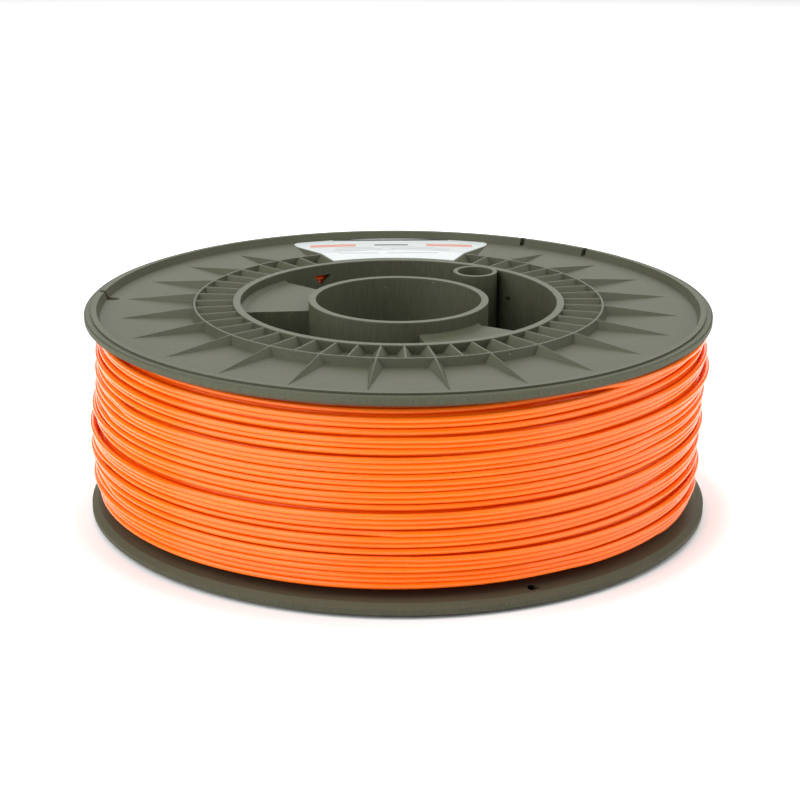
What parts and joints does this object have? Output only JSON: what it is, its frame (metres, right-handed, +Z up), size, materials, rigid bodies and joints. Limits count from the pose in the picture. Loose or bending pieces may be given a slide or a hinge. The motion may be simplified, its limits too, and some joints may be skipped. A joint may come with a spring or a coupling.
{
  "type": "filament spool",
  "caption": "Full spool of 3D-printing filament: two plugged-together moulded plastic halves with ribbed flanges, an open webbed hub, and wound orange filament.",
  "frame": {"origin": "centre of the lower hub end face, where the spool stands", "axes": "+Z up along the bore axis, towards the labelled flange; +X is azimuth 0, the label lies towards +Y"},
  "size_m": [0.2, 0.2, 0.0674],
  "materials": {
    "spool_plastic": "grey-green moulded plastic, fine matte grain, lightly rubbed edges",
    "filament": "glossy orange extruded filament, slightly translucent",
    "label": "satin white self-adhesive film with plain coloured bars"
  },
  "bodies": {
    "root": {"upper_spool_half": "spool_plastic", "lower_spool_half": "spool_plastic", "filament_winding": "filament", "flange_label": "label"}
  },
  "joints": []
}
